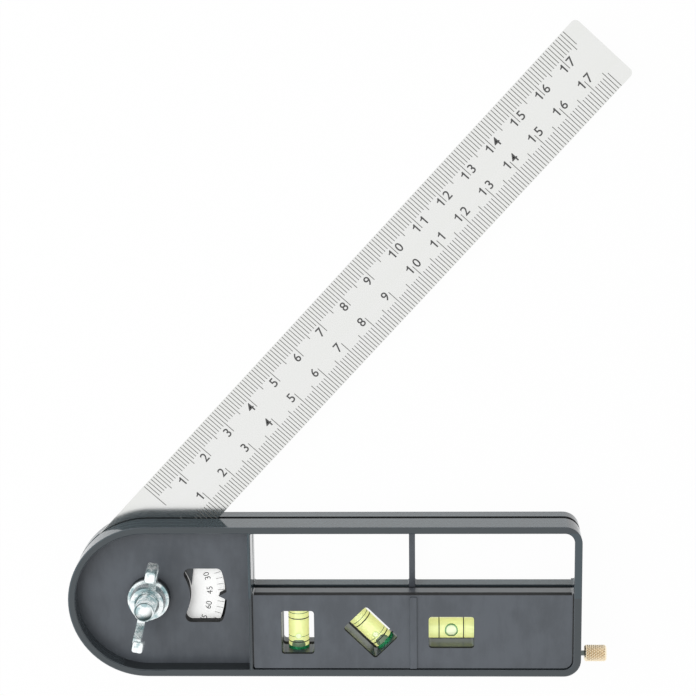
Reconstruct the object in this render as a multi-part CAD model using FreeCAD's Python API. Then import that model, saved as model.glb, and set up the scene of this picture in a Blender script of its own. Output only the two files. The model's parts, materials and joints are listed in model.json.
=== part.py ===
import FreeCAD, Part
import math
import os

from FreeCAD import Vector

# Adjustable protractor lying on its back. Millimetres. The origin is on the pivot's axis in the plane of the
# back rim; +X runs along the case to the scriber's end, +Y to the edge that the blade folds out of, and +Z
# up through the wing nut.

# Case
half_height = 22.65         # round end's radius, and half of the case's height
head_middle = -0.35         # centre of the round end, beside the pivot's axis
pivot_to_end = 124.85       # pivot's axis to the square end
case_thickness = 15.0
corner_radius = 5.0
rim_wall = 2.0
end_wall = 2.2
end_draft = 1.1             # end wall's slope in the window, over its whole depth
rim_bevel = 0.25            # moulded bevel of the rims
rear_thickness = 5.0        # back face to the blade's slot
parting_height = 8.0        # where the two shells meet, under the panel
front_web = 3.4             # web over the blade in the head
rear_web = 2.0
rear_panel_recess = 1.0
panel_recess = 0.6
panel_gap = 0.4             # groove round the panel
panel_gap_depth = 1.6
mouth_rear = 4.67           # the slot opens to these heights at the case's edges
mouth_front = 6.58
mouth_depth = 1.35
ledge_mouth_depth = 0.8
mould_radius = 0.5          # inner corners of the windows
boss_radius = 6.1           # raised seat of the washer
boss_height = 2.3

# Head recess, windows, strut and rib
bulkhead_at = 29.15         # pivot's axis to the recess's straight side
bulkhead_wall = 0.9
ledge_height = 1.5          # front ledge over the pivot's axis, at the slot
ledge_draft = 0.55          # how much higher the panel's edge is
rear_ledge_height = 1.8
rear_ledge_draft = 0.45
strut_at = 76.25
strut_width = 1.75
rib_at = 76.6
rib_width = 1.9
rib_height = 0.4
rib_draft = 0.1

# Blade
blade_thickness = 0.8
blade_clearance = 0.1
blade_width = 22.2
blade_offset = 0.4          # the inner edge runs this far beside the pivot's axis
blade_root_radius = 21.7
blade_reach = 204.0         # pivot's axis to the tip
blade_corner = 1.5
blade_angle = 47.4          # opening at rest
root_clearance = 0.8        # between the root and the lands round it
land_start = 8.0            # the land begins this far right of the pivot's axis

# Reading window in the head's web
scale_inner_radius = 11.8
scale_outer_radius = 22.45
scale_top = 8.4
scale_bottom = -8.0
scale_corner = 1.8
pointer_radius = 20.15
pointer_half_width = 1.25
pointer_root = 1.0          # how far the pointer's base reaches into the web
shelf_thickness = 1.0       # low shelf in the window's upper inner corner
shelf_low = (11.8, 0.4)
shelf_high = (12.55, 6.4)
shelf_gap = 0.5             # between the shelf and the window's inner arc

# Pivot bolt, washer and wing nut
bolt_radius = 3.0
bolt_length = 23.3          # back plane to the threaded end
bolt_chamfer = 0.65
bolt_head_radius = 7.0
bolt_head_height = 2.5
bolt_head_rim = 0.7         # upright edge under the dome
neck_square = 6.0
fit_clearance = 0.05
loose_clearance = 0.08
washer_radius = 6.0
washer_thickness = 1.0
nut_base_radius = 5.5
nut_top_radius = 4.84
nut_hub_height = 3.9
nut_height = 11.5
nut_span = 27.2
nut_sink_radius = 3.6
nut_sink_depth = 0.5
nut_turned = 79.5           # direction of the wings from +X at rest
wing_root = 3.7             # radius at which an arm starts inside the hub
wing_foot_rise = 1.2        # nut's base to an arm's lower edge
wing_foot_reach = 1.0       # how far that edge runs beyond the hub before it climbs
wing_shoulder = 1.4         # how far the upper edge runs beyond the hub before it climbs
wing_crotch_rise = 0.5      # hub's top to that turn of the upper edge
wing_bend = 2.4             # radius of both turns
wing_arm_width = 2.2
wing_arm_offset = 0.8       # both arms run this far beside the axis, clockwise
wing_arm_reach = 11.8       # pivot's axis to an arm's outer end
wing_pad_width = 3.1
wing_pad_offset = 0.2
wing_pad_top = (8.6, 12.1)  # a pad's top, inner and outer end
wing_pad_widest = 5.6       # its widest place under the nut's top
wing_pad_foot = (11.0, 12.6)    # its foot, inner and outer end
wing_pad_depth = 7.9        # its foot under the nut's top
wing_pad_slant = 0.5        # between the foot's corners
wing_pad_round = 0.9        # corners of a pad seen from the side
wing_pad_edge = 0.7         # rounding of its edges

# Vials, the same for all three
tube_radius = 3.0
tube_bore = 2.35
tube_bore_end = 2.2         # the bore is wider in the middle, so that the bubble rests there
tube_length = 16.8
tube_floor = 1.2
tube_bevel = 0.4            # closed end's edge
liquid_clearance = 0.02
seat_clearance = 0.05
ring_spacing = 7.1
ring_width = 0.32
ring_depth = 0.15
ring_clearance = 0.01
groove_reach = 1.0          # how far a cutting ring stands clear of what it cuts
opening_length = 13.1
opening_width = 9.5
opening_corner = 0.9
vial_over_edge = 12.55      # vials' middle over the case's lower edge
opening_over_edge = 13.35   # openings' middle over it
level_at = 87.55
plumb_at = 43.2
mitre_at = 64.3
bubble_radius = 1.3
bubble_gap = 0.1            # plumb and mitre bubbles lie this far from the plug
plug_shown = 1.3            # plug's length in the plumb and mitre openings
plug_groove_at = 0.8        # from the plug's outer end
plug_groove_width = 0.5
plug_groove_depth = 0.3

# Scriber
needle_radius = 0.75
needle_clearance = 0.05
needle_length = 50.0
needle_point = 6.0
needle_tip_radius = 0.08
needle_over_edge = 4.65     # needle's axis over the case's lower edge
needle_exposed = 1.4        # between the case's end and the knurled head
needle_grip = 3.0           # the needle's length inside the head
head_radius = 2.4
head_length = 6.3
head_chamfer = 0.4
bore_spare = 1.0

same_place = 1e-4           # lengths under this count as none

slot_rear = rear_thickness
slot_front = slot_rear + blade_thickness + 2 * blade_clearance
web_front = slot_front + front_web
boss_front = web_front + boss_height
web_rear = slot_rear - rear_web
panel_front = case_thickness - panel_recess
window_left = bulkhead_at + bulkhead_wall
window_right = pivot_to_end - end_wall
window_top = half_height - rim_wall
inner_corner = corner_radius - end_wall
slot_floor = blade_offset - blade_clearance
vial_row = vial_over_edge - half_height
opening_row = opening_over_edge - half_height
needle_row = needle_over_edge - half_height


def box(x0, x1, y0, y1, z0, z1):
    """Block between two corners."""
    return Part.makeBox(x1 - x0, y1 - y0, z1 - z0, Vector(x0, y0, z0))


def disc(radius, z0, z1, x=0.0, y=0.0):
    """Upright cylinder."""
    return Part.makeCylinder(radius, z1 - z0, Vector(x, y, z0))


def slab(wire, z0, z1):
    """Flat outline drawn at height 0, raised between two heights."""
    face = Part.Face(wire)
    face.translate(Vector(0, 0, z0))
    return face.extrude(Vector(0, 0, z1 - z0))


def tapered(low_wire, high_wire, z0, z1):
    """Solid between two flat outlines of the same kind, at two heights."""
    low_wire.translate(Vector(0, 0, z0))
    high_wire.translate(Vector(0, 0, z1))
    return Part.makeLoft([low_wire, high_wire], True, True)


def rounded_polygon(points):
    """Closed outline through (x, y, corner radius) points, anticlockwise, with tangent arcs."""
    edges = []
    stops = []
    count = len(points)
    for i, (x, y, radius) in enumerate(points):
        here = Vector(x, y, 0)
        before = Vector(*points[i - 1][:2], 0) - here
        after = Vector(*points[(i + 1) % count][:2], 0) - here
        before.normalize()
        after.normalize()
        if radius <= 0:
            stops.append((here, None, here))
            continue
        half_turn = before.getAngle(after) / 2
        run = radius / math.tan(half_turn)
        middle = before + after
        middle.normalize()
        centre = here + middle * (radius / math.sin(half_turn))
        stops.append((here + before * run, centre - middle * radius, here + after * run))
    for i, (start, through, end) in enumerate(stops):
        if through is not None:
            edges.append(Part.Arc(start, through, end).toShape())
        following = stops[(i + 1) % count][0]
        if (following - end).Length > same_place:
            edges.append(Part.LineSegment(end, following).toShape())
    return Part.Wire(edges)


def case_outline(inset=0.0, right=None):
    """Half round on the left and two rounded corners on the right; right overrides the straight side."""
    radius = half_height - inset
    end = pivot_to_end - inset if right is None else right
    corner = corner_radius - inset if right is None else 0.0
    top_left = Vector(head_middle, radius, 0)
    bottom_left = Vector(head_middle, -radius, 0)
    top_right = Vector(end - corner, radius, 0)
    bottom_right = Vector(end - corner, -radius, 0)
    edges = [Part.Arc(top_left, Vector(head_middle - radius, 0, 0), bottom_left).toShape(),
             Part.LineSegment(bottom_left, bottom_right).toShape()]
    if corner > 0:
        swing = corner * math.sqrt(0.5)
        low = Vector(end - corner, corner - radius, 0)
        high = Vector(end - corner, radius - corner, 0)
        side_low = low + Vector(corner, 0, 0)
        side_high = high + Vector(corner, 0, 0)
        edges.append(Part.Arc(bottom_right, low + Vector(swing, -swing, 0), side_low).toShape())
        edges.append(Part.LineSegment(side_low, side_high).toShape())
        edges.append(Part.Arc(side_high, high + Vector(swing, swing, 0), top_right).toShape())
    else:
        edges.append(Part.LineSegment(bottom_right, top_right).toShape())
    edges.append(Part.LineSegment(top_right, top_left).toShape())
    return Part.Wire(edges)


def window_outline(left, right, bottom, top, right_corner):
    """Window with its two right-hand corner radii given, lower one first."""
    return rounded_polygon([(left, bottom, mould_radius), (right, bottom, right_corner[0]),
                            (right, top, right_corner[1]), (left, top, mould_radius)])


def blade_land():
    """Region where the blade never passes, in which the shells meet."""
    half = slab(case_outline(), slot_rear, parting_height)
    below = box(land_start, pivot_to_end, -half_height, slot_floor, slot_rear, parting_height)
    return half.common(below).cut(disc(blade_root_radius + root_clearance, slot_rear, parting_height))


def edges_at(shape, height, keep):
    """Edges that lie flat at one height and whose middle passes a test."""
    found = []
    for edge in shape.Edges:
        bounds = edge.BoundBox
        if abs(bounds.ZMin - height) > same_place or abs(bounds.ZMax - height) > same_place:
            continue
        middle = edge.valueAt((edge.FirstParameter + edge.LastParameter) / 2)
        if keep(middle):
            found.append(edge)
    return found


def vial_places():
    """Name, place along the case, turn of the axis and the plug's length for each vial."""
    hidden_plug = (tube_length - opening_length) / 2
    return [("level", level_at, 0.0, hidden_plug),
            ("plumb", plumb_at, -90.0, hidden_plug + plug_shown),
            ("mitre", mitre_at, -45.0, hidden_plug + plug_shown)]


def place_vial(shape, along, turn, row=vial_row):
    """Turn a shape made along +X about the origin and set it at its vial's centre."""
    shape.rotate(Vector(0, 0, 0), Vector(0, 0, 1), turn)
    shape.translate(Vector(along, row, parting_height))
    return shape


def lying_cylinder(radius, x0, x1):
    """Cylinder along +X."""
    return Part.makeCylinder(radius, x1 - x0, Vector(x0, 0, 0), Vector(1, 0, 0))


def vial_cuts():
    """Openings through the panel and the seats of the tubes."""
    cuts = []
    for name, along, turn, plug in vial_places():
        half_length = opening_length / 2
        half_width = opening_width / 2
        outline = rounded_polygon([(-half_length, -half_width, opening_corner),
                                   (half_length, -half_width, opening_corner),
                                   (half_length, half_width, opening_corner),
                                   (-half_length, half_width, opening_corner)])
        opening = slab(outline, -case_thickness, case_thickness)
        reach = tube_length / 2 + seat_clearance
        seat = lying_cylinder(tube_radius + seat_clearance, -reach, reach)
        cuts.append(place_vial(opening, along, turn, opening_row))
        cuts.append(place_vial(seat, along, turn))
    return cuts


def scriber_bore():
    """Bore for the needle, from the case's end inwards."""
    start = pivot_to_end + needle_exposed + needle_grip - needle_length - bore_spare
    bore = lying_cylinder(needle_radius + needle_clearance, start, pivot_to_end + needle_exposed)
    bore.translate(Vector(0, needle_row, parting_height))
    return bore


def reading_window(z0, z1):
    """Ring sector in the web, flat above and below, with rounded corners and the pointer left standing."""
    ring = disc(scale_outer_radius, z0, z1).cut(disc(scale_inner_radius, z0, z1))
    sector = ring.common(box(0, scale_outer_radius, scale_bottom, scale_top, z0, z1))
    upright = [edge for edge in sector.Edges if edge.BoundBox.ZLength > (z1 - z0) / 2]
    sector = sector.makeFillet(scale_corner, upright)
    tip = Vector(pointer_radius, 0, 0)
    base = scale_outer_radius + pointer_root
    spread = pointer_half_width * (base - pointer_radius) / (scale_outer_radius - pointer_radius)
    pointer = Part.makePolygon([tip, Vector(base, -spread, 0), Vector(base, spread, 0), tip])
    return sector.cut(slab(pointer, z0, z1))


def window_shelf():
    """Low shelf in the window's upper inner corner, with a gap along the inner arc."""
    (low_x, low_y), (high_x, high_y) = shelf_low, shelf_high
    outline = Part.makePolygon([Vector(low_x, low_y, 0), Vector(high_x, high_y, 0),
                                Vector(high_x, scale_top, 0), Vector(bolt_radius, scale_top, 0),
                                Vector(bolt_radius, low_y, 0), Vector(low_x, low_y, 0)])
    shelf = slab(outline, slot_front, slot_front + shelf_thickness)
    shelf = shelf.cut(disc(scale_inner_radius + shelf_gap, slot_front, slot_front + shelf_thickness))
    return shelf.common(reading_window(slot_front, slot_front + shelf_thickness))


def slot_mouth():
    """What widens the slot at the case's outer edge, over its floor and round the left end."""
    band = slab(case_outline(), mouth_rear, mouth_front)
    band = band.cut(slab(case_outline(mouth_depth), mouth_rear, mouth_front))
    left = box(-half_height * 2, 0, -half_height, half_height, mouth_rear, mouth_front)
    upper = box(0, pivot_to_end, slot_floor, half_height, mouth_rear, mouth_front)
    return band.common(left.fuse(upper))


def ledge_mouth(height):
    """What widens the slot along a ledge of the windows, up to the ledge's height over the axis."""
    return box(window_left, window_right, height - ledge_mouth_depth, height + ledge_mouth_depth,
               mouth_rear, mouth_front)


def end_wall_at(height):
    """Where the end wall's sloped inner face is at a height."""
    return window_right + end_draft * (panel_front - height) / panel_front


def panel_pocket():
    """Pocket over the panel and the groove round the panel's other three sides."""
    corners = (inner_corner, inner_corner)
    pocket = window_outline(window_left, window_right, -window_top, window_top, corners)
    groove_top = ledge_height + ledge_draft + mould_radius
    outer = window_outline(window_left, window_right, -window_top, groove_top, (inner_corner, mould_radius))
    panel = window_outline(window_left + panel_gap, window_right - panel_gap, panel_gap - window_top,
                           groove_top + panel_gap, (inner_corner - panel_gap, mould_radius))
    groove_floor = panel_front - panel_gap_depth
    groove = slab(outer, groove_floor, panel_front).cut(slab(panel, groove_floor, panel_front))
    return slab(pocket, panel_front, case_thickness).fuse(groove)


def front_shell():
    """Front half: rim, head web with the washer's seat, panel with its openings and rib."""
    shell = slab(case_outline(), slot_front, case_thickness)
    head = case_outline(rim_wall, right=bulkhead_at)
    shell = shell.cut(slab(head, web_front, case_thickness))
    shell = shell.cut(panel_pocket())
    low = window_outline(window_left, end_wall_at(slot_front), ledge_height, window_top,
                         (mould_radius, inner_corner))
    high = window_outline(window_left, window_right, ledge_height + ledge_draft, window_top,
                          (mould_radius, inner_corner))
    shell = shell.cut(tapered(low, high, slot_front, panel_front))
    shell = shell.makeChamfer(rim_bevel, edges_at(shell, case_thickness, lambda point: True))
    shell = shell.fuse(panel_rib()).fuse(disc(boss_radius, web_front, boss_front))
    shell = shell.cut(slot_mouth()).cut(ledge_mouth(ledge_height))
    shell = shell.cut(blade_land())
    shell = shell.cut(reading_window(slot_front, web_front))
    shell = shell.fuse(window_shelf())
    shell = shell.cut(disc(bolt_radius + loose_clearance, slot_front, boss_front))
    for cut in vial_cuts() + [scriber_bore()]:
        shell = shell.cut(cut)
    return shell.removeSplitter()


def panel_rib():
    """Rib down the panel, sloped a little on both sides."""
    top = panel_front + rib_height
    base = panel_front - rib_height
    half = rib_width / 2
    foot = half + rib_draft
    section = Part.makePolygon([Vector(rib_at - foot, 0, base), Vector(rib_at + foot, 0, base),
                                Vector(rib_at + half, 0, top), Vector(rib_at - half, 0, top),
                                Vector(rib_at - foot, 0, base)])
    face = Part.Face(section)
    face.translate(Vector(0, panel_gap - window_top, 0))
    return face.extrude(Vector(0, window_top - panel_gap + ledge_height, 0))


def rear_shell():
    """Rear half: rim, thin head web, two windows with the strut between them, and the land."""
    shell = slab(case_outline(), 0, rear_thickness)
    head = case_outline(rim_wall, right=bulkhead_at)
    shell = shell.cut(slab(head, 0, web_rear))
    panel = window_outline(window_left, window_right, -window_top, window_top, (inner_corner, inner_corner))
    shell = shell.cut(slab(panel, 0, rear_panel_recess))
    strut_left = strut_at - strut_width / 2
    strut_right = strut_at + strut_width / 2
    back_height = rear_ledge_height + rear_ledge_draft
    corners = (mould_radius, mould_radius)
    end_corners = (mould_radius, inner_corner)
    left = tapered(window_outline(window_left, strut_left, back_height, window_top, corners),
                   window_outline(window_left, strut_left, rear_ledge_height, window_top, corners),
                   0, rear_thickness)
    right = tapered(window_outline(strut_right, end_wall_at(0), back_height, window_top, end_corners),
                    window_outline(strut_right, end_wall_at(rear_thickness), rear_ledge_height, window_top,
                                   end_corners),
                    0, rear_thickness)
    shell = shell.cut(left).cut(right)
    shell = shell.makeChamfer(rim_bevel, edges_at(shell, 0, lambda point: True))
    mouth = ledge_mouth(rear_ledge_height)
    mouth = mouth.cut(box(strut_left, strut_right, 0, half_height, 0, case_thickness))
    shell = shell.cut(slot_mouth()).cut(mouth)
    shell = shell.fuse(blade_land())
    half_neck = neck_square / 2 + fit_clearance
    shell = shell.cut(box(-half_neck, half_neck, -half_neck, half_neck, 0, slot_rear))
    for cut in vial_cuts() + [scriber_bore()]:
        shell = shell.cut(cut)
    return shell.removeSplitter()


def blade():
    """Ruler strip beside the pivot's axis with a round root, turned to its opening at rest."""
    low = slot_rear + blade_clearance
    high = low + blade_thickness
    strip = rounded_polygon([(0, blade_offset, 0), (blade_reach, blade_offset, blade_corner),
                             (blade_reach, blade_offset + blade_width, blade_corner),
                             (0, blade_offset + blade_width, 0)])
    plate = slab(strip, low, high).fuse(disc(blade_root_radius, low, high)).removeSplitter()
    plate = plate.cut(disc(bolt_radius + fit_clearance, low, high))
    plate.rotate(Vector(0, 0, 0), Vector(0, 0, 1), blade_angle)
    return plate


def pivot_bolt():
    """Domed head in the rear recess, square neck in the rear web, and the shaft for the nut."""
    dome_height = bolt_head_height - bolt_head_rim
    sphere_radius = (bolt_head_radius ** 2 + dome_height ** 2) / (2 * dome_height)
    crown = web_rear - bolt_head_height
    ball = Part.makeSphere(sphere_radius, Vector(0, 0, crown + sphere_radius))
    head = disc(bolt_head_radius, crown, web_rear).common(ball)
    half = neck_square / 2
    neck = box(-half, half, -half, half, web_rear, slot_rear)
    shaft = disc(bolt_radius, slot_rear, bolt_length)
    shaft = shaft.makeChamfer(bolt_chamfer, edges_at(shaft, bolt_length, lambda point: True))
    return head.fuse(neck).fuse(shaft).removeSplitter()


def washer():
    """Flat washer on its seat."""
    top = boss_front + washer_thickness
    return disc(washer_radius, boss_front, top).cut(disc(bolt_radius + loose_clearance, boss_front, top))


def wing_nut():
    """Conical hub, countersunk bore, and two wings that rise outwards to thick rounded pads."""
    base = boss_front + washer_thickness
    hub = Part.makeCone(nut_base_radius, nut_top_radius, nut_hub_height, Vector(0, 0, base))
    for side in (0, 180):
        hub = hub.fuse(wing(base, side))
    top = base + nut_hub_height
    bore_radius = bolt_radius + fit_clearance
    hub = hub.cut(disc(bore_radius, base, base + nut_height))
    sink = Part.makeCone(bore_radius, nut_sink_radius, nut_sink_depth, Vector(0, 0, top - nut_sink_depth))
    clear = disc(nut_sink_radius, top, base + nut_height)
    nut = hub.cut(sink).cut(clear).removeSplitter()
    nut.rotate(Vector(0, 0, 0), Vector(0, 0, 1), nut_turned)
    return nut


def wing(base, turn):
    """One wing along +X: a slim arm out of the hub and a thicker pad at its end."""
    top = base + nut_height
    hub_top = base + nut_hub_height
    foot = base + wing_foot_rise
    pad_foot = top - wing_pad_depth
    (top_inner, top_outer), (foot_inner, foot_outer) = wing_pad_top, wing_pad_foot
    arm = side_plate([(wing_root, foot, 0),
                      (nut_base_radius + wing_foot_reach, foot, wing_bend),
                      (wing_arm_reach, pad_foot + wing_pad_round, wing_pad_round),
                      (wing_arm_reach, top - wing_pad_widest, wing_pad_round),
                      (top_inner + wing_pad_round, top - wing_pad_edge, wing_pad_round),
                      (nut_top_radius + wing_shoulder, hub_top + wing_crotch_rise, wing_bend),
                      (wing_root, hub_top, 0)], wing_arm_width, wing_arm_offset)
    pad = side_plate([(foot_inner, pad_foot + wing_pad_slant, wing_pad_round),
                      (foot_outer, pad_foot, wing_pad_round),
                      (nut_span / 2, top - wing_pad_widest, wing_pad_round),
                      (top_outer, top, wing_pad_round),
                      (top_inner, top, wing_pad_round)], wing_pad_width, wing_pad_offset)
    rims = [edge for edge in pad.Edges if edge.BoundBox.YLength < same_place]
    pad = pad.makeFillet(wing_pad_edge, rims)
    whole = arm.fuse(pad)
    whole.rotate(Vector(0, 0, 0), Vector(0, 0, 1), turn)
    return whole


def side_plate(points, width, offset):
    """Outline in (x, z, corner radius), given a thickness along Y and set beside the axis."""
    flat = Part.Face(rounded_polygon(points))
    flat.rotate(Vector(0, 0, 0), Vector(1, 0, 0), 90)
    flat.translate(Vector(0, width / 2 - offset, 0))
    return flat.extrude(Vector(0, -width, 0))


def barrel(middle_radius, end_radius, x0, x1):
    """Two shallow cones along +X that meet in the middle."""
    half = (x1 - x0) / 2
    first = Part.makeCone(end_radius, middle_radius, half, Vector(x0, 0, 0), Vector(1, 0, 0))
    second = Part.makeCone(middle_radius, end_radius, half, Vector(x0 + half, 0, 0), Vector(1, 0, 0))
    return first.fuse(second)


def ring_bands(outer, depth, width):
    """Two bands round the tube, one each side of the bubble's place."""
    bands = []
    for side in (-0.5, 0.5):
        middle = side * ring_spacing
        band = lying_cylinder(outer, middle - width / 2, middle + width / 2)
        bands.append(band.cut(lying_cylinder(outer - depth, middle - width, middle + width)))
    return bands


def vial_tube(plug):
    """Clear tube, closed at one end, with two grooves for the marks."""
    half = tube_length / 2
    tube = lying_cylinder(tube_radius, -half, half)
    closed_end = [edge for edge in tube.Edges if abs(edge.BoundBox.XMax + half) < same_place]
    tube = tube.makeChamfer(tube_bevel, closed_end)
    tube = tube.cut(barrel(tube_bore, tube_bore_end, tube_floor - half, half - plug))
    tube = tube.cut(lying_cylinder(tube_bore_end, half - plug, half))
    for groove in ring_bands(tube_radius + groove_reach, groove_reach + ring_depth, ring_width):
        tube = tube.cut(groove)
    return tube


def vial_liquid(plug, bubble_at):
    """Filling of the bore, with the bubble left hollow under the tube's upper side."""
    half = tube_length / 2
    start = tube_floor - half + liquid_clearance
    end = half - plug - liquid_clearance
    filling = barrel(tube_bore - liquid_clearance, tube_bore_end - liquid_clearance, start, end)
    rise = tube_bore_end - bubble_radius - 2 * liquid_clearance
    return filling.cut(Part.makeSphere(bubble_radius, Vector(bubble_at, 0, rise)))


def vial_plug(plug):
    """Stopper in the tube's open end, with a seal groove."""
    half = tube_length / 2
    radius = tube_bore_end - liquid_clearance
    stopper = lying_cylinder(radius, half - plug, half)
    groove_end = half - plug_groove_at
    groove_start = groove_end - plug_groove_width
    core = lying_cylinder(radius - plug_groove_depth, groove_start, groove_end)
    return stopper.cut(lying_cylinder(radius + groove_reach, groove_start, groove_end).cut(core))


def vial_nodes():
    """Tube, liquid, plug and marks of each vial."""
    nodes = {}
    for name, along, turn, plug in vial_places():
        bubble_at = 0.0 if name == "level" else tube_length / 2 - plug - bubble_gap - bubble_radius
        marks = ring_bands(tube_radius - ring_clearance, ring_depth - 2 * ring_clearance,
                           ring_width - 2 * ring_clearance)
        nodes[name + "_tube"] = place_vial(vial_tube(plug), along, turn)
        nodes[name + "_liquid"] = place_vial(vial_liquid(plug, bubble_at), along, turn)
        nodes[name + "_plug"] = place_vial(vial_plug(plug), along, turn)
        nodes[name + "_rings"] = place_vial(Part.makeCompound(marks), along, turn)
    return nodes


def scriber_needle():
    """Hardened needle, pointed at its inner end."""
    end = pivot_to_end + needle_exposed + needle_grip
    start = end - needle_length
    shank = lying_cylinder(needle_radius, start + needle_point, end)
    point = Part.makeCone(needle_tip_radius, needle_radius, needle_point, Vector(start, 0, 0),
                          Vector(1, 0, 0))
    needle = shank.fuse(point).removeSplitter()
    needle.translate(Vector(0, needle_row, parting_height))
    return needle


def scriber_head():
    """Knurled knob's body on the needle, chamfered at both ends."""
    start = pivot_to_end + needle_exposed
    knob = lying_cylinder(head_radius, start, start + head_length)
    knob = knob.makeChamfer(head_chamfer, [edge for edge in knob.Edges if edge.BoundBox.XLength < same_place])
    knob = knob.cut(lying_cylinder(needle_radius, start, start + needle_grip))
    knob.translate(Vector(0, needle_row, parting_height))
    return knob


def main():
    """Build every node and write one STEP file each."""
    os.makedirs("parts", exist_ok=True)
    nodes = {"front_shell": front_shell(), "rear_shell": rear_shell(), "blade": blade(),
             "pivot_bolt": pivot_bolt(), "washer": washer(), "wing_nut": wing_nut(),
             "scriber_needle": scriber_needle(), "scriber_head": scriber_head()}
    nodes.update(vial_nodes())
    for name, shape in nodes.items():
        print(name, "solids", len(shape.Solids), "volume", round(shape.Volume, 1), "valid", shape.isValid())
        shape.exportStep("parts/" + name + ".step")


main()
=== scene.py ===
# %% [markdown]
# # An adjustable protractor
#
# A steel ruler turns between two moulded half shells and is clamped with a wing nut. The construction comes
# as a fixed frame in metres. This lesson gives each of its pieces a finish, and makes the pieces whose shape
# is too fine for the frame: the knurled knob, the thread, the graduation and the vials.

import json
import math

import bmesh
import bpy
import numpy as np
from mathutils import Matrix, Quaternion, Vector


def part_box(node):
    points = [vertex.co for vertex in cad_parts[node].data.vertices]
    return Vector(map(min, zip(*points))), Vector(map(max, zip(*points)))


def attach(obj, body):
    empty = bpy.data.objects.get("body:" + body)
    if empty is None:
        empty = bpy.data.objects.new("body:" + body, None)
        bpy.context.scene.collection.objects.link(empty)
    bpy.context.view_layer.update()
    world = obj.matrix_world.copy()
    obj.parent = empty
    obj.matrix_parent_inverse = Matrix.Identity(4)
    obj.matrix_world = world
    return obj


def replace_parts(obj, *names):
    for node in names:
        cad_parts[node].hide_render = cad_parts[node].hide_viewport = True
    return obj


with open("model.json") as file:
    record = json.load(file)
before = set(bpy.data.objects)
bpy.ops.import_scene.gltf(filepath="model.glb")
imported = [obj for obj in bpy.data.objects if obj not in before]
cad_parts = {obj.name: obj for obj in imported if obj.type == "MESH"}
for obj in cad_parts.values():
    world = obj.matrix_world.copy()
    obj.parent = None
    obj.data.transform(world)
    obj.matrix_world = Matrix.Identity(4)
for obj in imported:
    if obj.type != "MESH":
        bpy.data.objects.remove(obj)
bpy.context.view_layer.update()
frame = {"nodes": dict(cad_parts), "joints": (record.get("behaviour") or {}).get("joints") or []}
nodes = frame["nodes"]
mm = 0.001

# %% [markdown]
# ## Camera
#
# The photograph was taken with a long lens from high above, a little behind the ruler's side, so that the
# edge with the slot shows. The place and the turn of the camera come from the ruler's own graduation: its
# centimetre lines are a known pattern, and only one camera puts all of them where the picture has them.

# %% The camera
camera_place = Vector((79.33, 218.54, 611.65)) * mm
camera_turn = Vector((-0.23572, 0.03299, -0.00765))     # axis times angle in radians
focal_pixels = 2198.9
picture_pixels = 696

camera = bpy.data.objects.new("camera", bpy.data.cameras.new("camera"))
bpy.context.scene.collection.objects.link(camera)
camera.location = camera_place
camera.rotation_mode = "QUATERNION"
camera.rotation_quaternion = Quaternion(camera_turn.normalized(), camera_turn.length)
camera.data.sensor_width = 36.0
camera.data.lens = focal_pixels / picture_pixels * camera.data.sensor_width
camera.data.clip_start = 0.02
camera.data.clip_end = 20.0
bpy.context.scene.camera = camera
bpy.context.scene.view_settings.view_transform = "Standard"
print("lens", round(camera.data.lens, 1), "mm")

# %% [markdown]
# ## Meshes from arrays
#
# Every new surface here is a grid of closed rings: a function of two parameters gives the place of each
# point, and the quads between neighbours follow from the grid's numbering. Numpy works all points out at
# once. Where a ring shrinks to one point, the doubled points are merged afterwards, so that each piece is one
# closed skin, and the skin is turned to face outwards. Lines are bars with six faces each, also all at once.

# %% Grids and solids
def ring_quads(points):
    """Quads between closed rings: the point of ring i and column j has the number i * columns + j."""
    rings, columns = points.shape[:2]
    i, j = np.meshgrid(np.arange(rings - 1), np.arange(columns), indexing="ij")
    right = (j + 1) % columns
    corners = [i * columns + j, i * columns + right, (i + 1) * columns + right, (i + 1) * columns + j]
    return np.stack(corners, axis=-1).reshape(-1, 4)


def make_piece(name, points, faces, material, sharp_degrees=35.0, values=None):
    """Object of points in millimetres and faces; values, one a point, become its attribute "amount"."""
    mesh = bpy.data.meshes.new(name)
    mesh.from_pydata((np.asarray(points, float).reshape(-1, 3) * mm).tolist(), [], np.asarray(faces).tolist())
    if values is not None:
        attribute = mesh.attributes.new("amount", "FLOAT", "POINT")
        attribute.data.foreach_set("value", np.asarray(values, np.float32).ravel())
    return dress_mesh(name, mesh, material, sharp_degrees)


def dress_mesh(name, mesh, material, sharp_degrees=35.0):
    """Merge doubles, turn the faces outwards, shade smooth up to an angle, and link the object."""
    shell = bmesh.new()
    shell.from_mesh(mesh)
    bmesh.ops.remove_doubles(shell, verts=shell.verts, dist=1e-7)
    bmesh.ops.dissolve_degenerate(shell, edges=shell.edges, dist=1e-8)
    bmesh.ops.recalc_face_normals(shell, faces=shell.faces)
    shell.to_mesh(mesh)
    shell.free()
    mesh.shade_smooth()
    mesh.set_sharp_from_angle(angle=math.radians(sharp_degrees))
    piece = bpy.data.objects.new(name, mesh)
    piece.data.materials.append(material)
    bpy.context.scene.collection.objects.link(piece)
    print(name, "faces", len(mesh.polygons))
    return piece


def turned(profile, columns):
    """Points of a profile of (height, radius) rows spun about +Z: (radius cos a, radius sin a, height)."""
    height, radius = np.asarray(profile, float).T
    angle = np.linspace(0, 2 * np.pi, columns, endpoint=False)
    return np.stack([np.outer(radius, np.cos(angle)), np.outer(radius, np.sin(angle)),
                     np.outer(height, np.ones(columns))], axis=-1)


def lay_along_x(points):
    """Carry a shape from +Z to +X: height becomes x, and the start of the angle points down."""
    return np.stack([points[..., 2], points[..., 1], -points[..., 0]], axis=-1)


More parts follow.
